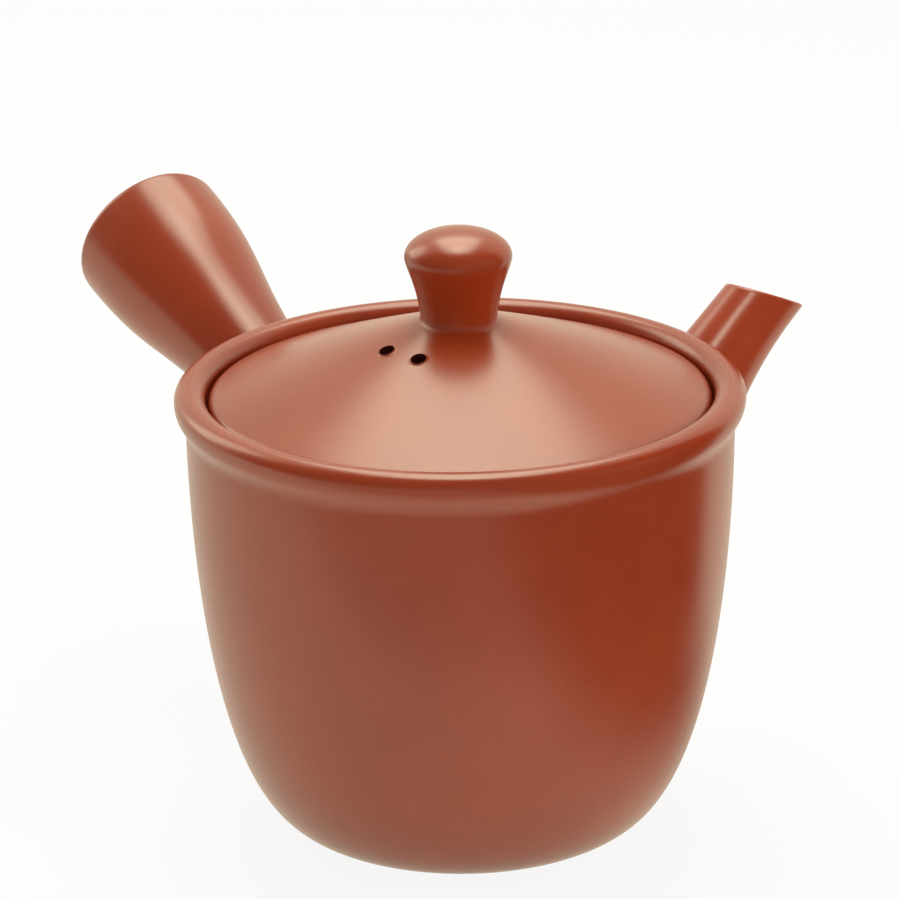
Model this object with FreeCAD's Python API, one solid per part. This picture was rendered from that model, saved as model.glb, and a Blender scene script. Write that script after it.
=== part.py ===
"""Side-handled red clay teapot: a thrown bowl with a luted spout, handle and strainer, and a lid.

Millimetres. The origin is the middle of the foot on the table, Z is up, the spout points along +X
and the handle along +Y. Every piece is a separate clay solid; fillets of slip lute them together.
"""
import FreeCAD
import Part
import math
import os

from FreeCAD import Vector

# Bowl
rim_height = 80.0           # table to the top of the rim
bead_w = 5.2                # width of the rolled rim
bead_rise = 2.2             # height of the rolled rim above its widest place
bead_overhang = 1.85        # how far the rolled rim stands out over the wall
flare_h = 5.6               # height over which the wall flares out to the rolled rim
foot_d = 47.2               # across the foot ring
foot_ring_w = 4.0           # width of the ring that touches the table
foot_recess = 0.8           # hollow under the floor, inside the ring
floor_t = 4.2               # clay between that hollow and the inside
wall_t = 3.0                # wall at its top
bevel_w = 6.4               # width of the trimmed bevel round the foot
bevel_h = 3.0               # height of that bevel
belly_sweep = 11.7          # how far the wall keeps the bevel's way before it turns up
neck_straight = 33.4        # height below that flare over which the wall straightens
neck_lean = 0.25            # how far it leans out over that height

# Ledge inside the rim that carries the lid
seat_drop = 5.45            # top of the rim down to the ledge
ledge_bore_d = 77.0         # opening inside the ledge
ledge_w = 4.3               # width of the ledge, out to the inside of the rolled rim
ledge_t = 2.6               # thickness of the ledge at its edge
ledge_taper_h = 3.0         # height of the taper under the ledge

# Lid
lid_gap = 0.5               # round the lid, inside the rolled rim
seat_gap = 0.05             # lapped fit between the lid and the ledge
lid_rise = 16.2             # ledge up to the lid's crown at the knob
lid_edge_h = 2.4            # straight part of the lid's edge
shoulder_w = 1.3            # width of the lid's rounded shoulder
shoulder_h = 1.5            # height of that shoulder above the straight edge
cone_bulge = 0.15           # how far the lid's cone bulges above a straight line
lid_t = 3.2                 # thickness of the lid's cone
flange_clearance = 0.35     # flange to ledge opening, each side
flange_depth = 5.5          # flange below the lid's seat
flange_t = 2.4              # thickness of the flange
vent_d = 2.6                # steam vents
vent_ring_d = 29.0          # circle that the vents lie on
vent_spread_deg = 28.0      # angle between the two vents
vent_bearing_deg = 194.5    # middle of the pair, counted from the spout

# Knob
knob_root_d = 12.9          # where it stands on the lid
knob_d = 18.0               # widest
knob_stem_h = 11.1          # lid's crown up to the widest place
knob_slim_h = 5.5           # height over which the stem stays slim
knob_slim_out = 0.15        # how far the stem widens over that height
knob_swell_h = 1.6          # height over which the widest place rounds off below
knob_cap_h = 4.7            # widest place up to the top

# Handle
handle_rise_deg = 23.0      # axis above the level
handle_root_drop = 24.0     # top of the rim down to the axis at the wall
handle_length = 62.5        # along the axis, from the wall to the open end
handle_end_d = 29.0         # across the open end
handle_root_d = 15.8        # across the root, as deep inside the wall as it is wide
handle_wall_t = 2.4         # wall of the trumpet
handle_slim_run = 57.0      # length over which the root stays slim
handle_wide_run = 26.0      # length over which the end stays wide

# Spout
spout_rise_deg = 42.9       # axis above the level
spout_stand_out = 18.8      # wall to the middle of the mouth, level
mouth_rise = 2.9            # top of the rim up to the middle of the mouth
mouth_lean_deg = 24.0       # lean of the mouth away from level, forwards
mouth_roll_deg = 6.0        # lean of the mouth sideways, towards the handle
spout_tip_d = 12.9          # across the tip
spout_taper = 0.05          # how much the upper side rises from the axis, for each length
spout_wall_t = 1.9          # wall of the tube
spout_under_run = 42.0      # along the axis from the mouth to where the underside meets the wall
spout_under_drop = 7.2      # how much further the underside is from the axis there than at the tip
spout_slim_run = 18.0       # length over which the underside stays close to the axis
spout_waist_in = 0.3        # how far it draws in over that length
spout_swell_run = 14.5      # length over which the underside swells out before the wall
spout_swell_drop = 2.0      # how far it draws away over that length
spout_belly_share = 0.64    # share of the swelling that drops the middle of the tube

# Opening through the wall, and the strainer over it
wall_hole_d = 13.0          # opening into the spout
wall_hole_below = 7.8       # its middle below the spout's axis, at the wall
strainer_below = 5.6        # middle of the dome below the middle of the opening
strainer_d = 28.0           # across the dome's edge
strainer_h = 9.0            # how far the dome stands in from the wall
strainer_t = 1.8            # thickness of the dome
sieve_hole_d = 1.7          # small holes in the dome
sieve_pitch = 3.3           # spacing of those holes
sieve_margin = 2.6          # plain clay left at the dome's edge

# Fillets of slip
handle_slip = 3.2           # radius round the handle's root
spout_slip = 1.9            # radius round the spout's root
strainer_slip = 2.5         # radius round the strainer's edge
knob_slip = 0.9             # width round the knob's root
flange_slip = 1.2           # width inside the flange's root

# Small roundings
ledge_round = 0.6           # edges of the ledge's opening
flange_round = 0.6          # lower edges of the flange
foot_round = 0.6            # outer edge of the foot ring

# Worked out from the sizes above
UP = Vector(0, 0, 1)
CENTRE = Vector(0, 0, 0)
ROUND = 0.5523              # pull of a curve that stands for a quarter of an ellipse
TOUCHING = 1e-4             # two shapes nearer than this touch
rim_inner_r = ledge_bore_d / 2 + ledge_w
rim_r = rim_inner_r + bead_w
bead_mid_z = rim_height - bead_rise
neck_r = rim_r - bead_overhang
neck_z = bead_mid_z - flare_h
foot_r = foot_d / 2
floor_z = foot_recess + floor_t
seat_z = rim_height - seat_drop
ledge_r = ledge_bore_d / 2
taper_z = seat_z - ledge_t - ledge_taper_h
lid_r = rim_inner_r - lid_gap
lid_base_z = seat_z + seat_gap
crown_z = seat_z + lid_rise
flange_r = ledge_r - flange_clearance
flange_inner_r = flange_r - flange_t
knob_root_r = knob_root_d / 2
knob_r = knob_d / 2
spout_rise = math.radians(spout_rise_deg)
spout_axis = Vector(math.cos(spout_rise), 0, math.sin(spout_rise))
spout_down = Vector(math.sin(spout_rise), 0, -math.cos(spout_rise))
spout_tip_r = spout_tip_d / 2
mouth_mid = Vector(neck_r + spout_stand_out, 0, rim_height + mouth_rise)
wall_hole_z = mouth_mid.z - spout_stand_out * math.tan(spout_rise) - wall_hole_below
strainer_z = wall_hole_z - strainer_below
strainer_ball_r = ((strainer_d / 2) ** 2 + strainer_h ** 2) / (2 * strainer_h)


def at(r, z):
    """A point of a turned outline, at radius r and height z."""
    return Vector(r, 0, z)


def line(a, b):
    """Straight edge between two points."""
    return Part.LineSegment(a, b).toShape()


def chain(*points):
    """Straight edges from point to point."""
    return [line(a, b) for a, b in zip(points, points[1:])]


def pulled(*poles):
    """Smooth edge from the first pole to the last, pulled towards those between: a Bezier curve."""
    curve = Part.BezierCurve()
    curve.setPoles(list(poles))
    return curve.toShape()


def quarter(start, corner, end):
    """Quarter of an ellipse from start to end, round the inside of a square corner."""
    return pulled(start, start + (corner - start) * ROUND, end + (corner - end) * ROUND, end)


def turned(edges):
    """Solid turned about the Z axis from a closed outline."""
    face = Part.Face(Part.Wire(edges))
    return face.revolve(CENTRE, UP, 360)


def wall_poles(inset, low, high):
    """Poles of the wall's curve from the bevel, on a foot at height low, up to high, set in by inset."""
    start = at(foot_r + bevel_w - inset, low + bevel_h)
    bevel_length = math.hypot(bevel_w, bevel_h)
    return [
        start,
        start + at(bevel_w, bevel_h) * (belly_sweep / bevel_length),
        at(neck_r - neck_lean - inset, high - neck_straight),
        at(neck_r - inset, high),
    ]


def wall_edges(inset, low, high):
    """The wall's outline: the bevel, then the curve up to the neck."""
    poles = wall_poles(inset, low, high)
    return [line(at(foot_r - inset, low), poles[0]), pulled(*poles)]


def pole_mix(poles, t):
    """The point at share t along the curve that four poles give."""
    a, b, c, d = poles
    s = 1 - t
    return a * s ** 3 + b * (3 * t * s * s) + c * (3 * t * t * s) + d * t ** 3


def radius_at(poles, height):
    """Radius of an outline's curve at a height, found by halving."""
    low = 0.0
    high = 1.0
    while high - low > 1e-9:
        middle = (low + high) / 2
        if pole_mix(poles, middle).z < height:
            low = middle
        else:
            high = middle
    return pole_mix(poles, low).x


def foot_edges():
    """Outline under the pot: the hollow and the ring that touches the table."""
    ring_in = foot_r - foot_ring_w
    return chain(at(0, foot_recess), at(ring_in - foot_recess, foot_recess), at(ring_in, 0), at(foot_r, 0))


def rim_edges():
    """The flare above the wall, then the rolled rim from its widest place over the top to the inside."""
    halfway = (neck_z + bead_mid_z) / 2
    outside = at(rim_r, bead_mid_z)
    top = at(rim_r - bead_w / 2, rim_height)
    inside = at(rim_inner_r, bead_mid_z)
    return [
        pulled(at(neck_r, neck_z), at(neck_r, halfway), at(rim_r, halfway), outside),
        quarter(outside, at(rim_r, rim_height), top),
        quarter(top, at(rim_inner_r, rim_height), inside),
    ]


def filled_pot():
    """The pot's outer shape with no inside, which trims what is luted to the wall."""
    top = chain(at(rim_inner_r, bead_mid_z), at(0, bead_mid_z), at(0, foot_recess))
    return turned(foot_edges() + wall_edges(0, 0, neck_z) + rim_edges() + top)


def plain_wall():
    """The filled pot with its wall running straight on upwards in place of the rim."""
    poles = wall_poles(0, 0, neck_z)
    above = poles[3] + (poles[3] - poles[2])
    top = chain(poles[3], above, at(0, above.z), at(0, foot_recess))
    return turned(foot_edges() + wall_edges(0, 0, neck_z) + top)


def pot_inside():
    """The space inside the wall, from the floor up to the taper under the ledge."""
    ends = chain(at(neck_r - wall_t, taper_z), at(0, taper_z), at(0, floor_z), at(foot_r - wall_t, floor_z))
    return turned(wall_edges(wall_t, floor_z, taper_z) + ends)


def make_bowl():
    """Thrown bowl: foot, wall, rolled rim and ledge in one, with the opening into the spout."""
    ledge = chain(
        at(rim_inner_r, bead_mid_z),
        at(rim_inner_r, seat_z),
        at(ledge_r, seat_z),
        at(ledge_r, seat_z - ledge_t),
        at(neck_r - wall_t, taper_z),
    )
    outside = foot_edges() + wall_edges(0, 0, neck_z) + rim_edges()
    inside = wall_edges(wall_t, floor_z, taper_z)[::-1]
    floor = chain(at(foot_r - wall_t, floor_z), at(0, floor_z), at(0, foot_recess))
    bowl = turned(outside + ledge + inside + floor)
    bowl = bowl.makeFillet(ledge_round, circles(bowl, ledge_r))
    bowl = bowl.makeFillet(foot_round, circles(bowl, foot_r))
    start = Vector(ledge_r - strainer_h, 0, wall_hole_z)
    return bowl.cut(Part.makeCylinder(wall_hole_d / 2, mouth_mid.x, start, Vector(1, 0, 0)))


def circles(solid, radius):
    """Round edges of a turned solid that have a given radius."""
    rounds = [e for e in solid.Edges if e.Curve.TypeId == "Part::GeomCircle"]
    return [e for e in rounds if abs(e.Curve.Radius - radius) < TOUCHING]


def middle_of(edge):
    """The point halfway along an edge."""
    return edge.valueAt((edge.FirstParameter + edge.LastParameter) / 2)


def lute(tube, size):
    """Fillet of slip in the corner between the pot's wall and a tube that is luted to it."""
    wall = plain_wall()
    joined = wall.fuse(tube)
    corner = []
    for edge in joined.Edges:
        spot = Part.Vertex(middle_of(edge))
        off_wall = spot.distToShape(wall.Shells[0])[0]
        off_tube = spot.distToShape(tube.Shells[0])[0]
        if max(off_wall, off_tube) < TOUCHING:
            corner.append(edge)
    rounded = joined.makeFillet(size, corner)
    return rounded.cut([wall, tube, filled_pot()])


def spout_ring(run, away, thinner):
    """Circle round the spout at a distance from the mouth, where the underside is away from the axis."""
    swell = away - spout_tip_r
    rise = spout_taper * max(run, 0)
    middle = mouth_mid - spout_axis * run + spout_down * (spout_belly_share * swell - rise / 2)
    return Part.Wire(Part.makeCircle(spout_tip_r + (swell + rise) / 2 - thinner, middle, spout_axis))


def spout_core(thinner):
    """The spout's outer shape, or its bore where thinner is the wall, from past the mouth to inside."""
    root_away = spout_tip_r + spout_under_drop
    poles = [
        Vector(0, spout_tip_r, 0),
        Vector(spout_slim_run, spout_tip_r - spout_waist_in, 0),
        Vector(spout_under_run - spout_swell_run, root_away - spout_swell_drop, 0),
        Vector(spout_under_run, root_away, 0),
    ]
    steps = 6
    spots = [Vector(-spout_tip_d, spout_tip_r, 0)]
    spots += [pole_mix(poles, step / steps) for step in range(steps + 1)]
    spots.append(poles[3] * 2 - poles[2])
    rings = [spout_ring(spot.x, spot.y, thinner) for spot in spots]
    return Part.makeLoft(rings, True)


def past_mouth():
    """Everything beyond the leaning plane of the spout's mouth."""
    size = spout_under_run * 2
    block = Part.makeBox(size, size, size, Vector(-size / 2, -size / 2, 0))
    block.rotate(CENTRE, Vector(0, 1, 0), mouth_lean_deg)
    block.rotate(CENTRE, Vector(1, 0, 0), -mouth_roll_deg)
    block.translate(mouth_mid)
    return block


def make_spout():
    """Tapered tube with a swelling underside, cut to the wall and to its leaning mouth."""
    return spout_core(0).cut([spout_core(spout_wall_t), past_mouth(), filled_pot()])


def make_spout_slip():
    """Slip round the spout's root."""
    return lute(spout_core(0).cut(past_mouth()), spout_slip)


def placed_on_handle(shape):
    """Lay a shape that was turned about Z along the handle's axis."""
    wall_z = rim_height - handle_root_drop
    shape.rotate(CENTRE, Vector(1, 0, 0), handle_rise_deg - 90)
    shape.translate(Vector(0, 0, wall_z - neck_r * math.tan(math.radians(handle_rise_deg))))
    return shape


def handle_poles(inset):
    """Poles of the trumpet's outline from inside the wall to just short of its lip, set in by inset."""
    wall = neck_r / math.cos(math.radians(handle_rise_deg))
    root = wall - handle_root_d
    lip = wall + handle_length - handle_wall_t / 2
    root_r = handle_root_d / 2 - inset
    end_r = handle_end_d / 2 - inset
    return [
        at(root_r, root),
        at(root_r, root + handle_slim_run),
        at(end_r, lip - handle_wide_run),
        at(end_r, lip),
    ]


def handle_core():
    """The trumpet's outer shape, from inside the wall to a plain flat end."""
    poles = handle_poles(0)
    ends = chain(poles[3], at(0, poles[3].z), at(0, poles[0].z), poles[0])
    return placed_on_handle(turned([pulled(*poles)] + ends))


def make_handle():
    """Hollow trumpet with a rounded lip, cut to the wall."""
    outer = handle_poles(0)
    inner = handle_poles(handle_wall_t)
    lip_top = at((outer[3].x + inner[3].x) / 2, outer[3].z + handle_wall_t / 2)
    lip = Part.Arc(outer[3], lip_top, inner[3]).toShape()
    root = line(inner[0], outer[0])
    trumpet = turned([pulled(*outer), lip, pulled(*inner), root])
    return placed_on_handle(trumpet).cut(filled_pot())


def make_handle_slip():
    """Slip round the handle's root."""
    return lute(handle_core(), handle_slip)


def dome_middle():
    """Centre of the ball that the strainer's dome is part of."""
    wall = radius_at(wall_poles(wall_t, floor_z, taper_z), strainer_z)
    return Vector(wall - strainer_h + strainer_ball_r, 0, strainer_z)


def dome_ball():
    """The part of the strainer's ball that stands inside the pot."""
    return Part.makeSphere(strainer_ball_r, dome_middle()).common(pot_inside())


def sieve_holes():
    """Small holes square to the dome, in rings round its middle."""
    edge = math.acos(1 - strainer_h / strainer_ball_r) - sieve_margin / strainer_ball_r
    step = sieve_pitch / strainer_ball_r
    holes = []
    for ring in range(int(edge / step) + 1):
        lean = ring * step
        count = max(1, round(2 * math.pi * strainer_ball_r * math.sin(lean) / sieve_pitch))
        for number in range(count):
            turn = 2 * math.pi * number / count
            side = math.sin(lean)
            way = Vector(-math.cos(lean), side * math.cos(turn), side * math.sin(turn))
            start = dome_middle() + way * (strainer_ball_r - 2 * strainer_t)
            holes.append(Part.makeCylinder(sieve_hole_d / 2, 4 * strainer_t, start, way))
    return holes


def make_strainer():
    """Pierced dome over the opening into the spout."""
    hollow = Part.makeSphere(strainer_ball_r - strainer_t, dome_middle())
    return dome_ball().cut([hollow] + sieve_holes())


def make_strainer_slip():
    """Slip in the corner between the dome and the inside of the wall."""
    space = pot_inside().cut(dome_ball())
    corner = []
    for edge in space.Edges:
        off_ball = abs((middle_of(edge) - dome_middle()).Length - strainer_ball_r)
        if off_ball < TOUCHING:
            corner.append(edge)
    return space.cut(space.makeFillet(strainer_slip, corner))


def cone_poles(drop):
    """Poles of the lid's cone from the knob to the shoulder, lowered by drop."""
    crown = at(knob_root_r, crown_z - drop)
    shoulder = at(lid_r - shoulder_w, lid_base_z + lid_edge_h + shoulder_h - drop)
    return [crown, (crown + shoulder) * 0.5 + UP * (2 * cone_bulge), shoulder]


def lid_hollow():
    """The space under the lid's cone, inside its flange."""
    poles = cone_poles(lid_t)
    base = lid_base_z - flange_depth
    ends = chain(poles[2], at(poles[2].x, base), at(0, base), at(0, poles[0].z), poles[0])
    under_cone = turned([pulled(*poles)] + ends)
    inside = Part.makeCylinder(flange_inner_r - flange_slip, crown_z)
    return under_cone.common(inside)


def vents():
    """Steam vents square to the lid's cone."""
    crown = cone_poles(0)[0]
    shoulder = cone_poles(0)[2]
    slope = math.atan2(crown.z - shoulder.z, shoulder.x - crown.x)
    vent_r = vent_ring_d / 2
    level = crown.z - (vent_r - crown.x) * math.tan(slope)
    holes = []
    for side in (-0.5, 0.5):
        bearing = vent_bearing_deg + side * vent_spread_deg
        way = Vector(math.sin(slope), 0, math.cos(slope))
        hole = Part.makeCylinder(vent_d / 2, 4 * lid_t, at(vent_r, level) - way * (2 * lid_t), way)
        hole.rotate(CENTRE, UP, bearing)
        holes.append(hole)
    return holes


def make_lid():
    """Low conical cover with a rounded shoulder, hollow below and pierced by its vents."""
    crown, bulge, shoulder = cone_poles(0)
    along = shoulder - bulge
    corner = shoulder + along * (shoulder_w / along.x)
    edge_top = at(lid_r, lid_base_z + lid_edge_h)
    rest = chain(edge_top, at(lid_r, lid_base_z), at(0, lid_base_z), at(0, crown_z), crown)
    lid = turned([pulled(crown, bulge, shoulder), pulled(shoulder, corner, edge_top)] + rest)
    return lid.cut([lid_hollow()] + vents())


def make_flange():
    """Locating ring under the lid."""
    low = lid_base_z - flange_depth
    ring = turned(chain(
        at(flange_inner_r, low),
        at(flange_r, low),
        at(flange_r, lid_base_z),
        at(flange_inner_r, lid_base_z),
        at(flange_inner_r, low),
    ))
    rounds = circles(ring, flange_r) + circles(ring, flange_inner_r)
    lower = [edge for edge in rounds if edge.Curve.Center.z < low + TOUCHING]
    return ring.makeFillet(flange_round, lower)


def make_flange_slip():
    """Ring of slip in the corner between the flange and the lid's underside."""
    corner = at(flange_inner_r, lid_base_z)
    below = at(flange_inner_r, lid_base_z - flange_slip)
    beside = at(flange_inner_r - flange_slip, lid_base_z)
    return turned(chain(beside, corner, below, beside))


def stem_poles():
    """Poles of the knob's stem from the lid's crown to its widest place."""
    return [
        at(knob_root_r, crown_z),
        at(knob_root_r + knob_slim_out, crown_z + knob_slim_h),
        at(knob_r, crown_z + knob_stem_h - knob_swell_h),
        at(knob_r, crown_z + knob_stem_h),
    ]


def make_knob():
    """Turned knob: slim stem, wide shoulder and domed top."""
    stem = stem_poles()
    top = at(0, stem[3].z + knob_cap_h)
    cap = quarter(stem[3], at(knob_r, top.z), top)
    return turned([pulled(*stem), cap] + chain(top, at(0, crown_z), stem[0]))


def make_knob_slip():
    """Ring of slip in the corner between the knob's stem and the lid's cone."""
    stem = stem_poles()
    crown, bulge, shoulder = cone_poles(0)
    corner = stem[0]
    up_stem = at(radius_at(stem, crown_z + knob_slip), crown_z + knob_slip)
    share = knob_slip / (shoulder.x - crown.x)
    down_cone = crown * (1 - share) ** 2 + bulge * (2 * share * (1 - share)) + shoulder * share ** 2
    back = at(knob_root_r / 2, crown_z)
    low = at(knob_root_r / 2, down_cone.z)
    ring = turned([pulled(up_stem, corner, down_cone)] + chain(down_cone, low, back, up_stem))
    return ring.cut([make_knob(), filled_lid_cone()])


def filled_lid_cone():
    """The lid's cone with no hollow, which trims the slip round the knob."""
    crown, bulge, shoulder = cone_poles(0)
    ends = chain(shoulder, at(0, shoulder.z), at(0, crown_z), crown)
    return turned([pulled(crown, bulge, shoulder)] + ends)


pieces = {
    "bowl": make_bowl(),
    "spout": make_spout(),
    "spout_slip_joint": make_spout_slip(),
    "handle": make_handle(),
    "handle_slip_joint": make_handle_slip(),
    "strainer": make_strainer(),
    "strainer_slip_joint": make_strainer_slip(),
    "lid": make_lid(),
    "lid_flange": make_flange(),
    "flange_slip_joint": make_flange_slip(),
    "knob": make_knob(),
    "knob_slip_joint": make_knob_slip(),
}

os.makedirs("parts", exist_ok=True)
for name, shape in pieces.items():
    shape.exportStep(os.path.join("parts", name + ".step"))
    box = shape.BoundBox
    low = (round(box.XMin, 2), round(box.YMin, 2), round(box.ZMin, 2))
    high = (round(box.XMax, 2), round(box.YMax, 2), round(box.ZMax, 2))
    print(name, len(shape.Solids), "solid", round(shape.Volume, 1), "mm3", low, high, shape.isValid())
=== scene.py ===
"""Looks of a side-handled red clay teapot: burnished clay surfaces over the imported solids.

Metres, in the solids' frame: the foot's middle is the origin, Z is up, the spout points along +X and
the handle along +Y. Outlines are written in millimetres and scaled when they become meshes.
"""
import math

import bpy
import numpy as np
from mathutils import Matrix, Vector


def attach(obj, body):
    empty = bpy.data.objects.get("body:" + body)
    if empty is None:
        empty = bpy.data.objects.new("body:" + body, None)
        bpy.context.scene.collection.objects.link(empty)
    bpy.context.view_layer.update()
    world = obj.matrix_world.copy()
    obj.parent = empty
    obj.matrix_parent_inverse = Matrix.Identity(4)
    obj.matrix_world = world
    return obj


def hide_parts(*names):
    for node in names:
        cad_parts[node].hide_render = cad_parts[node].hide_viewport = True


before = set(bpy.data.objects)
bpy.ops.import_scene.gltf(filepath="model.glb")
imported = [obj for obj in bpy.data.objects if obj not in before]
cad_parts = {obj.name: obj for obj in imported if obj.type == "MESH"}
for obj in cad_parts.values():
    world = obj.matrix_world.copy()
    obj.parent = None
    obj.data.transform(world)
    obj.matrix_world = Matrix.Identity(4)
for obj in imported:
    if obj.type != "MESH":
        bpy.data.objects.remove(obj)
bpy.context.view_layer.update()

MM = 0.001

# Bowl, in millimetres
rim_r = 48.0
rim_height = 80.0
bead_w = 5.2                    # rolled rim
bead_rise = 2.2
bead_overhang = 1.85
flare_h = 5.6
bead_mid_z = rim_height - bead_rise
rim_inner_r = rim_r - bead_w
neck_r = rim_r - bead_overhang
neck_z = bead_mid_z - flare_h   # where the wall begins to flare out to the rolled rim
foot_r = 23.6
foot_ring_w = 4.0
foot_recess = 0.8
ring_in_r = foot_r - foot_ring_w
floor_z = 5.0
wall_t = 3.0
bevel_w = 6.4
bevel_h = 3.0
belly_sweep = 11.7
neck_straight = 33.4
neck_lean = 0.25
seat_drop = 5.45                # the lid's seat, below the rim
seat_z = rim_height - seat_drop
ledge_r = 38.5
ledge_t = 2.6
ledge_taper = 3.0
ledge_low = seat_z - ledge_t
taper_z = ledge_low - ledge_taper
throwing_pitch = 4.6            # spiral that the thrower's finger leaves inside
throwing_depth = 0.075
wall_hole_r = 6.5
wall_hole_z = 57.63
wall_hole_lip = 0.5

# Lid and knob
lid_gap = 0.5
seat_gap = 0.05
lid_r = rim_inner_r - lid_gap
lid_base_z = seat_z + seat_gap
crown_rise = 16.2
crown_z = seat_z + crown_rise
lid_edge_h = 2.4
lid_edge_z = lid_base_z + lid_edge_h
shoulder_w = 1.3
shoulder_h = 1.5
cone_bulge = 0.15
lid_t = 3.2
flange_gap = 0.35
flange_t = 2.4
flange_h = 5.5
flange_r = ledge_r - flange_gap
flange_inner_r = flange_r - flange_t
flange_low = lid_base_z - flange_h
flange_slip = 1.2
vent_r = 1.3
vent_lip = 0.35
vent_ring_r = 14.5
vent_middle_deg = 194.5
vent_apart_deg = 14.0           # of each vent from the middle between them
vent_turns = np.radians([vent_middle_deg - vent_apart_deg, vent_middle_deg + vent_apart_deg])
knob_root_r = 6.45
knob_r = 9.0
knob_stem_h = 11.1
knob_slim_h = 5.5
knob_slim_out = 0.15
knob_swell_h = 1.6
knob_cap_h = 4.7
knob_slip = 0.9

# Handle
handle_rise = math.radians(23.0)
handle_end_r = 14.5
handle_root_r = 7.9
handle_wall_t = 2.4
handle_length = 62.5
handle_root_drop = 24.0
handle_slim_run = 57.0
handle_wide_run = 26.0
handle_at_wall = neck_r / math.cos(handle_rise)
handle_lip = handle_at_wall + handle_length - handle_wall_t / 2
handle_axis_z = rim_height - handle_root_drop - neck_r * math.tan(handle_rise)
handle_slip = 3.2

# Spout
spout_rise = math.radians(42.9)
spout_stand_out = 18.8
mouth_rise = 2.9
mouth_lean = math.radians(24.0)
mouth_roll = math.radians(6.0)
mouth_mid = np.array([neck_r + spout_stand_out, 0.0, rim_height + mouth_rise])
mouth_ease = 0.55
spout_tip_r = 6.45
spout_taper = 0.05
spout_wall_t = 1.9
spout_slim_run = 18.0           # the underside's curve, run back from the mouth
spout_waist_in = 0.3
spout_under_run = 42.0
spout_under_drop = 7.2
spout_swell_run = 14.5
spout_swell_drop = 2.0
spout_past_mouth = 15.0
spout_belly_share = 0.64
spout_slip = 1.9

# Fineness of the surfaces
AROUND_POT = 216
AROUND_LID = 240
AROUND_TUBE = 144
WALL_STEPS = 118
CONE_STEPS = 66
TUCK = 0.35                     # how far a luted root runs on into the clay behind it
SLIP_GAP = 0.03                 # hair line between the turning lid and the ring of slip under it


def bezier(poles, steps):
    """Curve through the first and last pole: the sum of the poles times their Bernstein weights."""
    poles = np.asarray(poles, float)
    order = len(poles) - 1
    t = np.linspace(0.0, 1.0, steps + 1)[:, None]
    weights = [math.comb(order, k) * t ** k * (1 - t) ** (order - k) for k in range(order + 1)]
    return sum(weight * pole for weight, pole in zip(weights, poles))


def straight(a, b, step):
    """Points from a to b, about a step apart."""
    count = max(1, round(math.dist(a, b) / step))
    return np.linspace(a, b, count + 1)


def quarter(start, corner, end, steps):
    """Quarter of an ellipse in a square corner: start, plus each side times the angle's sine or 1 - cosine."""
    start, corner, end = np.asarray(start), np.asarray(corner), np.asarray(end)
    angle = np.linspace(0, np.pi / 2, steps + 1)[:, None]
    return start + (corner - start) * np.sin(angle) + (end - corner) * (1 - np.cos(angle))


def softened(corners, sizes, step):
    """Straight runs whose inner corners are eased by a curve pulled to the corner, one size for each."""
    corners = np.asarray(corners, float)
    runs = []
    start = corners[0]
    for before, corner, after, size in zip(corners, corners[1:], corners[2:], sizes):
        back = corner + (before - corner) / np.linalg.norm(before - corner) * size
        on = corner + (after - corner) / np.linalg.norm(after - corner) * size
        runs += [straight(start, back, step), bezier([back, corner, on], 5)]
        start = on
    runs.append(straight(start, corners[-1], step))
    return joined(*runs)


def joined(*runs):
    """One outline from several that follow each other, with doubled points left out."""
    points = np.vstack(runs)
    keep = np.append(True, np.linalg.norm(np.diff(points, axis=0), axis=1) > 1e-6)
    return points[keep]


def run_along(outline):
    """Length along an outline at each of its points."""
    return np.append(0.0, np.cumsum(np.linalg.norm(np.diff(outline, axis=0), axis=1)))


def turn_steps(count):
    """Even turns about an axis, a full circle less the last step."""
    return np.arange(count) * (2 * np.pi / count)


def turned(outline, turn):
    """Surface of an outline of radius and height turned about Z: x = r cos a, y = r sin a."""
    r, z = outline[:, :1], outline[:, 1:]
    return np.stack([r * np.cos(turn), r * np.sin(turn), z + 0 * turn], -1)


def outward(outline):
    """Unit normals of an outline, to the right of its way, from the slope between neighbours."""
    way = np.gradient(outline, axis=0)
    way /= np.linalg.norm(way, axis=1, keepdims=True)
    return np.stack([way[:, 1], -way[:, 0]], -1)


def ring_table(rows, columns, first=0):
    """Numbers of the points of a grid whose last column joins its first."""
    table = first + np.arange(rows * columns).reshape(rows, columns)
    return np.hstack([table, table[:, :1]])


def faces_of(table):
    """Four-cornered faces between neighbouring rows and columns of a table of point numbers."""
    return np.stack([table[:-1, :-1], table[:-1, 1:], table[1:, 1:], table[1:, :-1]], -1)


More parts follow.
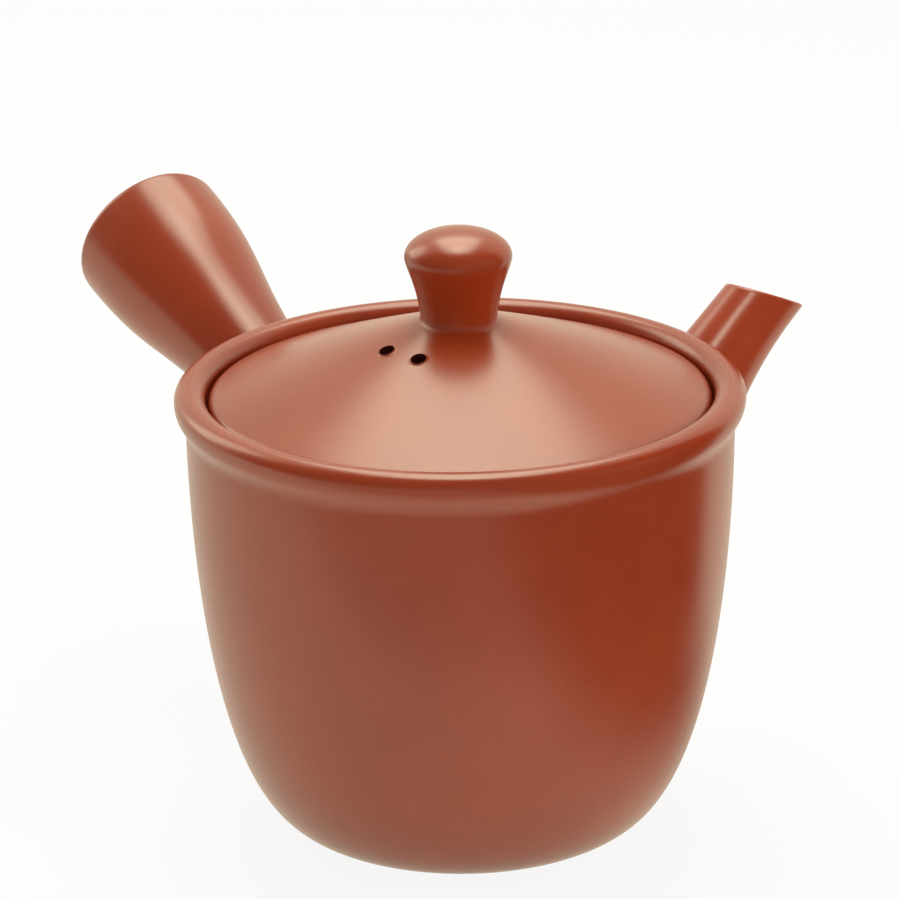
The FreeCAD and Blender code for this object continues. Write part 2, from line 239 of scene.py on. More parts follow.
def clay_piece(name, points, faces, strokes, burnish, body, slot, nodes, finish):
    """Mesh of a piece from its points and faces, turned outwards, on a body in place of its nodes.

    Outwards is told from the enclosed volume, the sum of p0 . (p1 x p2) / 6 over the faces. A face with
    two corners on one point, as at a pole, keeps three. strokes is the direction of the thrower's hand; the
    next values say how much of the surface is rubbed smooth, and below 0 they paint shade down a hole.
    Both are kept as attributes of the points.
    """
    points = np.asarray(points, float).reshape(-1, 3)
    faces = np.asarray(faces).reshape(-1, 4)
    a, b, c, d = (points[faces[:, k]] for k in range(4))
    volume = np.sum(a * np.cross(b, c)) + np.sum(a * np.cross(c, d))
    if volume < 0:
        faces = faces[:, ::-1]
    first_pole = faces[:, 0] == faces[:, 1]
    last_pole = faces[:, 2] == faces[:, 3]
    whole = faces[~(first_pole | last_pole)].tolist()
    fans = faces[first_pole][:, 1:].tolist() + faces[last_pole][:, :3].tolist()
    mesh = bpy.data.meshes.new(name)
    mesh.from_pydata((points * MM).tolist(), [], whole + fans)
    mesh.shade_smooth()
    mesh.set_sharp_from_angle(angle=math.radians(50))
    mesh.attributes.new("strokes", "FLOAT_VECTOR", "POINT").data.foreach_set(
        "vector", np.asarray(strokes, np.float32).ravel())
    mesh.attributes.new("burnish", "FLOAT", "POINT").data.foreach_set(
        "value", np.asarray(burnish, np.float32).ravel())
    mesh.validate()
    mesh.update()
    mesh.materials.append(finish)
    piece = bpy.data.objects.new(name, mesh)
    bpy.context.scene.collection.objects.link(piece)
    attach(piece, body)
    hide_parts(*nodes)
    return piece


def strokes_of(run, turn):
    """Where each point lies for the thrower's hand: round a 30 mm circle and along the outline, metres."""
    run, turn = np.broadcast_arrays(run, turn)
    return np.stack([30 * np.cos(turn), 30 * np.sin(turn), run], -1) * MM


def eased(x):
    """Smooth step from 0 to 1."""
    x = np.clip(x, 0.0, 1.0)
    return x * x * (3 - 2 * x)


# Wall of the pot
def wall_curve(inset, low, high, steps):
    """The wall's outline: a straight bevel from the foot, then a curve that turns up to the neck."""
    start = np.array([foot_r + bevel_w - inset, low + bevel_h])
    bevel = np.array([bevel_w, bevel_h])
    poles = [
        start,
        start + bevel * (belly_sweep / np.linalg.norm(bevel)),
        (neck_r - neck_lean - inset, high - neck_straight),
        (neck_r - inset, high),
    ]
    return np.array([foot_r - inset, low]), bezier(poles, steps)


wall_foot, wall_rise = wall_curve(0.0, 0.0, neck_z, WALL_STEPS)
inner_foot, inner_rise = wall_curve(wall_t, floor_z, taper_z, WALL_STEPS)
plain_wall = np.vstack([wall_foot, wall_rise, 2 * wall_rise[-1] - wall_rise[-12]])


def off_wall(points):
    """How far points stand out from the wall: their distance from Z less the wall's radius there."""
    wall = np.interp(points[..., 2], plain_wall[:, 1], plain_wall[:, 0])
    return np.hypot(points[..., 0], points[..., 1]) - wall


def onto_wall(points):
    """Points moved level, to or from Z, onto the wall."""
    reach = np.hypot(points[..., 0], points[..., 1])
    share = (reach - off_wall(points)) / reach
    return points * np.stack([share, share, np.ones_like(share)], -1)


def wall_normal(points):
    """The wall's outward direction beside points: level and away from Z, less the wall's slope."""
    z = points[..., 2]
    slope = (np.interp(z + 0.2, plain_wall[:, 1], plain_wall[:, 0])
             - np.interp(z - 0.2, plain_wall[:, 1], plain_wall[:, 0])) / 0.4
    reach = np.hypot(points[..., 0], points[..., 1])
    normal = np.stack([points[..., 0] / reach, points[..., 1] / reach, -slope], -1)
    return normal / np.linalg.norm(normal, axis=-1, keepdims=True)


def crossing(measure, low, high):
    """Where a measure that starts above 0 falls to 0, found by halving, for all staves at once."""
    for _ in range(48):
        middle = (low + high) / 2
        above = measure(middle) > 0
        low = np.where(above, middle, low)
        high = np.where(above, high, middle)
    return (low + high) / 2


def window_loop(table):
    """The border of a block of a grid, once round from its first corner."""
    return np.concatenate([table[0, :-1], table[:-1, -1], table[-1, :0:-1], table[:0:-1, 0]])


def hole_rings(outline, lengths, turn, rows, columns, middle, rim, lip, flip):
    """Rings that close a block of a turned grid down to a round hole with an eased lip.

    A ring is the block's border moved a share of the way to a circle round the hole's middle, laid on the
    turned surface; the lip's rings follow a quarter circle down into the hole. With flip, the block is
    taken with its rows upside down, so that the rings of an inner wall match those of the outer one.
    """
    run_middle, turn_middle = middle
    reach = np.interp(run_middle, lengths, outline[:, 0])
    run_rows = lengths[rows]
    run_block, turn_block = np.meshgrid(run_rows, turn[columns], indexing="ij")
    if flip:
        run_block, turn_block = run_block[::-1], turn_block[::-1]
    up = window_loop(run_block) - run_middle
    side = (window_loop(turn_block) - turn_middle) * reach
    spread = np.hypot(up, side)
    up_way, side_way = up / spread, side / spread
    normals = outward(outline)
    rings = []
    for share in (0.3, 0.55, 0.75, 0.9, 1.0):
        size = spread + (rim + lip - spread) * share
        rings.append((size, 0.0))
    for angle in np.radians((18, 36, 54, 72, 90)):
        rings.append((rim + lip * (1 - math.sin(angle)) + 0 * spread, lip * (1 - math.cos(angle))))
    points, runs, turns = [], [], []
    for size, depth in rings:
        run = run_middle + up_way * size
        at = turn_middle + side_way * size / reach
        r = np.interp(run, lengths, outline[:, 0] - depth * normals[:, 0])
        z = np.interp(run, lengths, outline[:, 1] - depth * normals[:, 1])
        points.append(np.stack([r * np.cos(at), r * np.sin(at), z], -1))
        runs.append(run)
        turns.append(at)
    return np.array(points), np.array(runs), np.array(turns)


# How dark the painted shade down a hole is on each ring, from the surface to the bottom of the lip.
HOLE_SHADE_BY_RING = np.array([0, 0, 0, 0, 0, 0, 0.2, 0.6, 0.9, 1.0])


def pierced(grid, outline, turn, burnish, holes):
    """A turned grid with round holes through its two walls: points, faces, strokes, and burnish with painted
    shade down the holes.

    holes lists, for each, the outer and inner block of rows, the columns, the places of the hole's middle
    on both walls, its radius and the size of its lip. The outer rings go down the hole to the inner ones.
    """
    rows, columns = grid.shape[:2]
    lengths = run_along(outline)
    table = ring_table(rows, columns)
    solid = np.ones((rows - 1, columns), bool)
    points, strokes, rubbed_and_hole_shade = [grid.reshape(-1, 3)], [], []
    strokes.append(strokes_of(lengths[:, None], turn).reshape(-1, 3))
    rubbed_and_hole_shade.append(np.broadcast_to(burnish[:, None], (rows, columns)).ravel())
    faces = []
    count = rows * columns
    for outer, inner, columns_cut, outer_at, inner_at, rim, lip in holes:
        loops, parts = [], []
        for block, place, flip in ((outer, outer_at, False), (inner, inner_at, True)):
            solid[block[0]:block[-1], columns_cut[0]:columns_cut[-1]] = False
            border = table[np.ix_(block, columns_cut)]
            loops.append(window_loop(border[::-1] if flip else border))
            parts.append(hole_rings(outline, lengths, turn, block, columns_cut, place, rim, lip, flip))
        ring_size = len(loops[0])
        rings = np.concatenate([parts[0][0], parts[1][0][::-1]])
        runs = np.concatenate([parts[0][1], parts[1][1][::-1]])
        turns = np.concatenate([parts[0][2], parts[1][2][::-1]])
        numbers = count + np.arange(len(rings) * ring_size).reshape(len(rings), ring_size)
        numbers = np.vstack([loops[0], numbers, loops[1]])
        faces.append(faces_of(np.hstack([numbers, numbers[:, :1]])).reshape(-1, 4))
        points.append(rings.reshape(-1, 3))
        strokes.append(strokes_of(runs, turns).reshape(-1, 3))
        # Painted shade down the hole: the burnish values fall below 0 towards the bottom of the lip.
        depth = np.concatenate([HOLE_SHADE_BY_RING, HOLE_SHADE_BY_RING[::-1]])[:, None]
        rubbed_and_hole_shade.append((np.interp(runs, lengths, burnish) * (1 - depth) - depth).ravel())
        count += rings.shape[0] * ring_size
    faces.insert(0, faces_of(table)[solid])
    points = np.concatenate(points)
    faces = np.concatenate(faces)
    poles = [row for row in (0, rows - 1) if outline[row, 0] == 0]
    for row in poles:
        first = row * columns
        on_pole = (faces >= first) & (faces < first + columns)
        faces = np.where(on_pole, first, faces)
    used = np.unique(faces)
    renumber = np.zeros(len(points), int)
    renumber[used] = np.arange(len(used))
    return points[used], renumber[faces], np.concatenate(strokes)[used], np.concatenate(rubbed_and_hole_shade)[used]


def closed_ring(grid):
    """Faces of a grid that closes both ways, like a ring of clay."""
    table = ring_table(*grid.shape[:2])
    return faces_of(np.vstack([table, table[:1]]))


# Finishes
def node(tree, kind, **sockets):
    """A shader node with its settings and inputs; a value that is a socket is linked."""
    made = tree.nodes.new(kind)
    for key, value in sockets.items():
        if hasattr(made, key):
            setattr(made, key, value)
            continue
        socket = made.inputs[int(key[1:]) if key[0] == "_" and key[1:].isdigit() else key.replace("_", " ")]
        if isinstance(value, bpy.types.NodeSocket):
            tree.links.new(value, socket)
        else:
            socket.default_value = value
    return made


def ramp(tree, factor, stops):
    """A colour ramp over a factor, with a colour at each stop."""
    made = node(tree, "ShaderNodeValToRGB", Fac=factor)
    elements = made.color_ramp.elements
    while len(elements) < len(stops):
        elements.new(0.5)
    for element, (place, colour) in zip(elements, stops):
        element.position = place
        element.color = colour if len(colour) == 4 else (*colour, 1)
    return made.outputs["Color"]


def fading(tree, value, start, end, first, last, kind="SMOOTHSTEP"):
    """A change from a first to a last number while a value goes from a start to an end, smooth or linear."""
    made = node(tree, "ShaderNodeMapRange", interpolation_type=kind, Value=value)
    for name, number in zip(("From Min", "From Max", "To Min", "To Max"), (start, end, first, last)):
        made.inputs[name].default_value = number
    return made.outputs["Result"]


def tinted(tree, share, colour, tint):
    """A colour times a tint, by a share from 0 to 1; the share and the tint may each be a socket."""
    made = node(tree, "ShaderNodeMix", data_type="RGBA", blend_type="MULTIPLY", _0=share, _6=colour, _7=tint)
    return made.outputs[2]


def srgb(red, green, blue):
    """A colour given as it looks on screen, 0 to 255, as the shader's linear values."""
    parts = np.array([red, green, blue]) / 255
    linear = np.where(parts <= 0.04045, parts / 12.92, ((parts + 0.055) / 1.055) ** 2.4)
    return (*linear.tolist(), 1.0)


# Colour of the painted shade down the vents and the wall hole.
PAINTED_HOLE_SHADE = (0.16, 0.14, 0.13, 1)


def clay(name, deep, light, rubbed_rough, plain_rough, grain):
    """Iron-red clay: colour drifts between two reds, with grains of grog, shines where it is rubbed, and has
    painted shade down holes.
    """
    finish = bpy.data.materials.new(name)
    finish.use_nodes = True
    tree = finish.node_tree
    tree.nodes.clear()
    place = node(tree, "ShaderNodeTexCoord").outputs["Object"]
    strokes = node(tree, "ShaderNodeAttribute", attribute_name="strokes").outputs["Vector"]
    burnish = node(tree, "ShaderNodeAttribute", attribute_name="burnish").outputs["Fac"]

    drift = node(tree, "ShaderNodeTexNoise", Vector=place, Scale=38.0, Detail=4.0, Roughness=0.55)
    colour = ramp(tree, drift.outputs["Fac"], [(0.32, deep), (0.70, light)])
    grog = node(tree, "ShaderNodeTexNoise", Vector=place, Scale=2100.0, Detail=2.0, Roughness=0.6)
    dark_grains = ramp(tree, grog.outputs["Fac"], [(0.30, (0.80, 0.80, 0.80)), (0.44, (1.0, 1.0, 1.0))])
    light_grains = ramp(tree, grog.outputs["Fac"], [(0.60, (1.0, 1.0, 1.0)), (0.74, (1.10, 1.16, 1.20))])
    colour = tinted(tree, grain, colour, dark_grains)
    colour = tinted(tree, grain, colour, light_grains)
    # Painted shade down holes: darker where the burnish values fall below 0.
    painted_hole_shade = fading(tree, burnish, 0.0, -1.0, 0.0, 1.0, "LINEAR")
    colour = tinted(tree, painted_hole_shade, colour, PAINTED_HOLE_SHADE)

    stroke_space = node(tree, "ShaderNodeMapping", Vector=strokes, Scale=(60.0, 60.0, 2400.0))
    lines = node(tree, "ShaderNodeTexNoise", Vector=stroke_space.outputs["Vector"], Scale=1.0, Detail=3.0)
    streaks = fading(tree, lines.outputs["Fac"], 0.0, 1.0, -0.012, 0.012, "LINEAR")
    rough = fading(tree, burnish, 0.0, 1.0, plain_rough, rubbed_rough, "LINEAR")
    streaked = node(tree, "ShaderNodeMath", operation="ADD", use_clamp=True, _0=rough, _1=streaks)

    relief = node(tree, "ShaderNodeMath", operation="MULTIPLY_ADD", _0=lines.outputs["Fac"], _1=0.1,
                  _2=grog.outputs["Fac"])
    tooth = fading(tree, burnish, 0.0, 1.0, 0.55, 0.10, "LINEAR")
    bump = node(tree, "ShaderNodeBump", Height=relief.outputs["Value"], Strength=tooth, Distance=0.00006)

    surface = node(tree, "ShaderNodeBsdfPrincipled", Base_Color=colour, Roughness=streaked.outputs["Value"],
                   Normal=bump.outputs["Normal"], IOR=1.7)
    out = node(tree, "ShaderNodeOutputMaterial")
    tree.links.new(surface.outputs["BSDF"], out.inputs["Surface"])
    return finish


burnished_clay = clay("burnished_red_clay", srgb(153, 51, 18), srgb(165, 60, 23), 0.26, 0.50, 0.5)
plain_clay = clay("plain_red_clay", srgb(154, 56, 26), srgb(170, 68, 36), 0.42, 0.58, 0.8)
slip_clay = clay("brushed_red_slip", srgb(150, 49, 18), srgb(163, 58, 24), 0.32, 0.46, 0.6)


# Bowl
def bowl_outline():
    """The bowl's outline from the middle of its underside, up outside, over the rim and down inside."""
    underside = softened(
        [(0, foot_recess), (ring_in_r - foot_recess, foot_recess), (ring_in_r, 0), (foot_r, 0), wall_rise[0]],
        (0.5, 0.4, 0.6), 1.2)
    halfway = (neck_z + bead_mid_z) / 2
    bead_out, bead_top = (rim_r, bead_mid_z), (rim_r - bead_w / 2, rim_height)
    bead_in = (rim_inner_r, bead_mid_z)
    flare = bezier([(neck_r, neck_z), (neck_r, halfway), (rim_r, halfway), bead_out], 24)
    bead = joined(quarter(bead_out, (rim_r, rim_height), bead_top, 20),
                  quarter(bead_top, (rim_inner_r, rim_height), bead_in, 20))
    ledge = softened(
        [bead[-1], (rim_inner_r, seat_z), (ledge_r, seat_z), (ledge_r, ledge_low), inner_rise[-1]],
        (0.5, 0.6, 0.6), 0.6)
    inside = inner_rise[::-1]
    floor = softened([inner_rise[0], inner_foot, (0, floor_z)], (4.0,), 0.75)
    runs = [underside, wall_rise, flare, bead, ledge, inside, floor]
    return joined(*runs), len(joined(underside, wall_rise)) - 1, len(joined(*runs[:5])) - 1


def nearest(values, value):
    """Place of the value in a list that comes nearest."""
    return int(np.argmin(np.abs(values - value)))


bowl_line, neck_row, taper_row = bowl_outline()
bowl_turn = turn_steps(AROUND_POT) - np.pi
bowl_run = run_along(bowl_line)
rim_row = nearest(bowl_line[:, 1], rim_height)
inside_share = eased((bowl_run - bowl_run[rim_row] - 2.0) / 6.0)
underside_share = 1 - eased((bowl_line[:, 0] - foot_r) / 1.0) * (bowl_run < bowl_run[rim_row])
underside_share = np.where(bowl_run > bowl_run[rim_row], 0.0, underside_share)
bowl_burnish = 1 - np.clip(inside_share + underside_share, 0, 1)

bowl_grid = turned(bowl_line, bowl_turn)
ridge = np.sin(2 * np.pi * bowl_run[:, None] / throwing_pitch + bowl_turn)
below_ledge = eased((bowl_run - bowl_run[taper_row] - 3.0) / 8.0)
ridge_fade = np.where(bowl_line[:, 1] > floor_z + 0.01, 1.0, 0.8) * below_ledge
by_spout = eased((np.abs(bowl_turn) - 0.35) / 0.5)
by_spout = np.where(bowl_line[:, 1:] > 30, by_spout, 1.0)
centre_fade = eased(bowl_line[:, 0] / 8.0)
ridge = ridge * (ridge_fade * centre_fade)[:, None] * by_spout * throwing_depth
bowl_normal = turned(outward(bowl_line), bowl_turn)
bowl_grid = bowl_grid + ridge[..., None] * bowl_normal

outer_row = nearest(np.where(np.arange(len(bowl_line)) < neck_row, bowl_line[:, 1], 999), wall_hole_z)
inner_row = nearest(np.where(np.arange(len(bowl_line)) > taper_row, bowl_line[:, 1], 999), wall_hole_z)
half_rows = 14
half_columns = 9
hole_columns = np.arange(AROUND_POT // 2 - half_columns, AROUND_POT // 2 + half_columns + 1)
near_outer, near_inner = slice(outer_row - 20, outer_row + 20), slice(inner_row - 20, inner_row + 20)
run_out = np.interp(wall_hole_z, bowl_line[near_outer, 1], bowl_run[near_outer])
run_in = np.interp(-wall_hole_z, -bowl_line[near_inner, 1], bowl_run[near_inner])
wall_hole = (
    np.arange(outer_row - half_rows, outer_row + half_rows + 1),
    np.arange(inner_row - half_rows, inner_row + half_rows + 1),
    hole_columns, (run_out, 0.0), (run_in, 0.0), wall_hole_r, wall_hole_lip)
clay_piece("thrown_bowl", *pierced(bowl_grid, bowl_line, bowl_turn, bowl_burnish, [wall_hole]),
           "pot", "burnished_clay", ["bowl"], burnished_clay)


# Lid
def lid_outline():
    """The lid's outline from its crown over the cone and shoulder, round its seat and up underneath."""
    crown = np.array([knob_root_r, crown_z])
    shoulder = np.array([lid_r - shoulder_w, lid_edge_z + shoulder_h])
    bulge = (crown + shoulder) / 2 + np.array([0, 2 * cone_bulge])
    along = shoulder - bulge
    corner = shoulder + along * (shoulder_w / along[0])
    cone = bezier([crown, bulge, shoulder], CONE_STEPS)
    round_off = bezier([shoulder, corner, (lid_r, lid_edge_z)], 22)
    under_cone = cone[::-1] - np.array([0, lid_t])
    hollow_r = flange_inner_r - flange_slip
    under_cone = under_cone[under_cone[:, 0] < hollow_r]
    hollow_top = np.array([hollow_r, under_cone[0, 1] - 0.2])
    seat = softened(
        [round_off[-1], (lid_r, lid_base_z), (hollow_r, lid_base_z), hollow_top, under_cone[2]],
        (0.5, 0.4, 1.2), 0.6)
    top = straight((0, crown_z), crown, 0.7)
    under_top = straight(under_cone[-1], (0, crown_z - lid_t), 0.7)
    return joined(top, cone, round_off, seat, under_cone[2:], under_top)


lid_line = lid_outline()
lid_turn = turn_steps(AROUND_LID)
lid_run = run_along(lid_line)
edge_row = nearest(lid_line[:, 0], lid_r)
lid_burnish = 1 - eased((lid_run - lid_run[edge_row] - 1.5) / 1.5)
lid_slope = math.atan2(crown_z - lid_edge_z - shoulder_h, lid_r - shoulder_w - knob_root_r)
inner_ring_r = vent_ring_r - lid_t * math.cos(lid_slope) * math.sin(lid_slope)
upper = np.arange(len(lid_line)) < edge_row
vent_row = nearest(np.where(upper, lid_line[:, 0], 999), vent_ring_r)
under_row = nearest(np.where(upper, 999, lid_line[:, 0]), inner_ring_r)
vent_run = np.interp(vent_ring_r, lid_line[:edge_row, 0], lid_run[:edge_row])
under_part = slice(under_row - 12, under_row + 12)
under_run = np.interp(-inner_ring_r, -lid_line[under_part, 0], lid_run[under_part])
vents = []
beside_vent, across_vent = np.arange(-6, 7), np.arange(-7, 8)
for vent_turn in vent_turns:
    vents.append((
        vent_row + beside_vent, under_row + beside_vent, nearest(lid_turn, vent_turn) + across_vent,
        (vent_run, vent_turn), (under_run, vent_turn), vent_r, vent_lip))
clay_piece("conical_lid", *pierced(turned(lid_line, lid_turn), lid_line, lid_turn, lid_burnish, vents),
           "lid", "burnished_clay", ["lid"], burnished_clay)


def turned_piece(name, outline, count, burnish, body, slot, nodes, finish):
    """A piece turned about Z from an outline that ends on the axis at both ends, or else closes on itself."""
    turn = turn_steps(count)
    if outline[0, 0] == 0 and outline[-1, 0] == 0:
        rubbed_and_hole_shade = np.full(len(outline), float(burnish))
        parts = pierced(turned(outline, turn), outline, turn, rubbed_and_hole_shade, [])
    else:
        grid = turned(outline, turn)
        parts = (grid, closed_ring(grid), strokes_of(run_along(outline)[:, None], turn),
                 np.full(grid.shape[:2], float(burnish)))
    return clay_piece(name, *parts, body, slot, nodes, finish)


# Locating flange under the lid, with its slip
flange_line = softened(
    [(flange_inner_r + 1.2, lid_base_z), (flange_inner_r, lid_base_z), (flange_inner_r, flange_low),
     (flange_r, flange_low), (flange_r, lid_base_z), (flange_inner_r + 1.3, lid_base_z)],
    (0.1, 0.7, 0.7, 0.1), 0.6)
turned_piece("locating_flange", flange_line, AROUND_LID, 0.2, "lid", "plain_clay", ["lid_flange"], plain_clay)
slip_corner = np.array([flange_inner_r - SLIP_GAP, lid_base_z - SLIP_GAP])
flange_slip_line = joined(
    bezier([slip_corner - (0, flange_slip), slip_corner, slip_corner - (flange_slip, 0)], 10),
    [slip_corner])
turned_piece("flange_luting", flange_slip_line, AROUND_LID, 0.3, "lid_carrier", "slip_clay",
             ["flange_slip_joint"], slip_clay)

# Knob, with its slip
widest_z = crown_z + knob_stem_h
cap_top = widest_z + knob_cap_h
stem = bezier([(knob_root_r, crown_z), (knob_root_r + knob_slim_out, crown_z + knob_slim_h),
               (knob_r, widest_z - knob_swell_h), (knob_r, widest_z)], 44)
cap = quarter(stem[-1], (knob_r, cap_top), (0, cap_top), 36)
knob_line = joined(straight((0, crown_z - TUCK), (knob_root_r, crown_z - TUCK), 1.0), stem, cap)
turned_piece("turned_knob", knob_line, AROUND_TUBE, 1.0, "lid", "burnished_clay", ["knob"], burnished_clay)
up_stem = stem[nearest(stem[:, 1], crown_z + knob_slip)]
cone_top = lid_line[(lid_run < lid_run[edge_row]) & (lid_line[:, 0] >= knob_root_r)]
down_cone = cone_top[nearest(cone_top[:, 0], knob_root_r + knob_slip)]
knob_slip_line = joined(
    bezier([up_stem, (knob_root_r, crown_z), down_cone], 12),
    [down_cone - (0.1, TUCK), (knob_root_r - TUCK, crown_z - TUCK), up_stem - (TUCK, 0)])
turned_piece("knob_luting", knob_slip_line, AROUND_TUBE, 0.9, "lid", "slip_clay",
             ["knob_slip_joint"], slip_clay)


# Tubes that are luted to the wall
handle_way = np.array([0, math.cos(handle_rise), math.sin(handle_rise)])
handle_side = np.array([1.0, 0, 0])
handle_up = np.cross(handle_side, handle_way)


def trumpet(inset):
    """Radius and distance along the handle's axis: slim at the wall, wide at the open end."""
    root = handle_at_wall - 2 * handle_root_r
    return bezier([(handle_root_r - inset, root), (handle_root_r - inset, root + handle_slim_run),
                   (handle_end_r - inset, handle_lip - handle_wide_run),
                   (handle_end_r - inset, handle_lip)], 400)


def handle_stave(run, turn, inset):
    """Points of the handle: along its axis, and out from it by the trumpet's radius at that run."""
    line = trumpet(inset)
    run, turn = np.broadcast_arrays(run, turn)
    radius = np.interp(run, line[:, 1], line[:, 0])
    middle = np.array([0, 0, handle_axis_z]) + run[..., None] * handle_way
    way = np.cos(turn)[..., None] * handle_side + np.sin(turn)[..., None] * handle_up
    return middle + radius[..., None] * way


spout_way = np.array([math.cos(spout_rise), 0, math.sin(spout_rise)])
spout_side = np.array([0, 1.0, 0])
spout_down = np.array([math.sin(spout_rise), 0, -math.cos(spout_rise)])
spout_swell = bezier([
    (0, 0), (spout_slim_run, -spout_waist_in),
    (spout_under_run - spout_swell_run, spout_under_drop - spout_swell_drop),
    (spout_under_run, spout_under_drop)], 400)
spout_swell = np.vstack([
    [-spout_past_mouth, 0], spout_swell,
    [spout_under_run + spout_swell_run, spout_under_drop + spout_swell_drop]])


def spout_stave(run, turn, inset):
    """Points of the spout, run back from its mouth: a circle whose underside swells away from the axis."""
    run, turn = np.broadcast_arrays(run, turn)
    swell = np.interp(run, spout_swell[:, 0], spout_swell[:, 1])
    rise = spout_taper * np.maximum(run, 0)
    down = spout_belly_share * swell - rise / 2
    middle = mouth_mid - run[..., None] * spout_way + down[..., None] * spout_down
    way = np.cos(turn)[..., None] * spout_side + np.sin(turn)[..., None] * spout_down
    return middle + (spout_tip_r + (swell + rise) / 2 - inset)[..., None] * way


mouth_normal = np.array([math.sin(mouth_lean), math.cos(mouth_lean) * math.sin(mouth_roll),
                         math.cos(mouth_lean) * math.cos(mouth_roll)])
tube_turn = turn_steps(AROUND_TUBE)


def luting(name, stave, corner_run, out, size, body, nodes):
    """Slip in the corner between a tube and the wall.

    From the corner it reaches a length of size over the tangent of half the corner's angle, up the stave
    and down the wall, and the curve between is pulled towards the corner. Its back is tucked into both.
    """
    corner = stave(corner_run, tube_turn)
    rise = stave(corner_run + out * 0.5, tube_turn) - corner
    rise /= np.linalg.norm(rise, axis=-1, keepdims=True)
    normal = wall_normal(corner)
    tube_middle = np.mean(stave(corner_run, tube_turn), axis=0)
    away = corner - tube_middle
    away -= np.sum(away * normal, -1, keepdims=True) * normal
    away /= np.linalg.norm(away, axis=-1, keepdims=True)
    angle = np.arccos(np.clip(np.sum(rise * away, -1), -1, 1))
    reach = np.minimum(size / np.tan(angle / 2), 2.2 * size)
    on_stave = stave(corner_run + out * reach, tube_turn)
    on_wall = onto_wall(corner + away * reach[:, None])
    t = np.linspace(0, 1, 15)[:, None, None]
    face = (1 - t) ** 2 * on_stave + 2 * t * (1 - t) * corner + t ** 2 * on_wall
    inward = tube_middle + np.sum((on_stave - tube_middle) * rise, -1, keepdims=True) * rise - on_stave
    inward /= np.linalg.norm(inward, axis=-1, keepdims=True)
    back = np.stack([on_wall - TUCK * normal, corner - TUCK * normal + TUCK * inward,
                     on_stave + TUCK * inward])
    grid = np.concatenate([face, back])
    run = np.linspace(0, 6, len(grid))[:, None]
    clay_piece(name, grid, closed_ring(grid), strokes_of(run, tube_turn), np.full(grid.shape[:2], 0.8),
               body, "slip_clay", nodes, slip_clay)


def between(first, last, steps):
    """Rows of runs from a first to a last, which may differ round the tube."""
    share = np.linspace(0, 1, steps + 1)[:, None]
    return first + (last - first) * share


# Handle
def handle_end(inset):
    """Run at which each stave of the handle meets the wall."""
    low = np.full(AROUND_TUBE, handle_at_wall + 14.0)
    high = np.full(AROUND_TUBE, handle_at_wall - 14.0)
    return crossing(lambda run: off_wall(handle_stave(run, tube_turn, inset)), low, high)


handle_root = handle_end(0.0)
handle_bore_root = handle_end(handle_wall_t)
outer_rows = handle_stave(between(handle_root - TUCK, handle_lip, 120), tube_turn, 0.0)
inner_rows = handle_stave(between(handle_lip, handle_bore_root - TUCK, 90), tube_turn, handle_wall_t)
lip_angle = np.radians(np.linspace(0, 180, 15))[1:-1, None]
lip_r = handle_wall_t / 2
lip_middle_r = handle_end_r - lip_r
lip_out = lip_middle_r + lip_r * np.cos(lip_angle)
lip_on = handle_lip + lip_r * np.sin(lip_angle)
lip_way = np.cos(tube_turn)[:, None] * handle_side + np.sin(tube_turn)[:, None] * handle_up
lip_rows = np.array([0, 0, handle_axis_z]) + lip_on[..., None] * handle_way + lip_out[..., None] * lip_way
handle_grid = np.concatenate([outer_rows, lip_rows, inner_rows])
handle_run = np.linspace(0, 130, len(handle_grid))[:, None]
past_lip = np.arange(len(handle_grid)) - len(outer_rows) - len(lip_rows) + 1
handle_burnish = 1 - eased(past_lip / 20.0)[:, None] * 0.7 + 0 * tube_turn
clay_piece("trumpet_handle", handle_grid, closed_ring(handle_grid), strokes_of(handle_run, tube_turn),
           handle_burnish, "pot", "burnished_clay", ["handle"], burnished_clay)
luting("handle_luting", lambda run, turn: handle_stave(run, turn, 0.0), handle_root, 1.0, handle_slip,
       "pot", ["handle_slip_joint"])


# Spout
def spout_mouth(inset):
    """Run at which each stave of the spout meets the leaning plane of the mouth."""
    low = np.full(AROUND_TUBE, -12.0)
    high = np.full(AROUND_TUBE, 12.0)
    return crossing(lambda run: (spout_stave(run, tube_turn, inset) - mouth_mid) @ mouth_normal, low, high)


def spout_end(inset):
    """Run at which each stave of the spout meets the wall."""
    low = np.full(AROUND_TUBE, 8.0)
    high = np.full(AROUND_TUBE, 55.0)
    return crossing(lambda run: off_wall(spout_stave(run, tube_turn, inset)), low, high)


spout_root = spout_end(0.0)
outer_mouth, inner_mouth = spout_mouth(0.0), spout_mouth(spout_wall_t)
outer_edge = spout_stave(outer_mouth, tube_turn, 0.0)
inner_edge = spout_stave(inner_mouth, tube_turn, spout_wall_t)
across = (inner_edge - outer_edge) / np.linalg.norm(inner_edge - outer_edge, axis=-1, keepdims=True)
t = np.linspace(0, 1, 7)[1:-1, None, None]
outer_back = spout_stave(outer_mouth + mouth_ease, tube_turn, 0.0)
inner_back = spout_stave(inner_mouth + mouth_ease, tube_turn, spout_wall_t)
outer_on, inner_on = outer_edge + mouth_ease * across, inner_edge - mouth_ease * across
outer_lip = (1 - t) ** 2 * outer_back + 2 * t * (1 - t) * outer_edge + t ** 2 * outer_on
inner_lip = (1 - t) ** 2 * inner_on + 2 * t * (1 - t) * inner_edge + t ** 2 * inner_back
spout_outer = spout_stave(between(spout_root + TUCK, outer_mouth + mouth_ease, 84), tube_turn, 0.0)
spout_inner = spout_stave(between(inner_mouth + mouth_ease, spout_end(spout_wall_t) + TUCK, 70), tube_turn,
                          spout_wall_t)
spout_grid = np.concatenate([spout_outer, outer_lip, outer_on[None], inner_on[None], inner_lip, spout_inner])
spout_run = np.linspace(0, 75, len(spout_grid))[:, None]
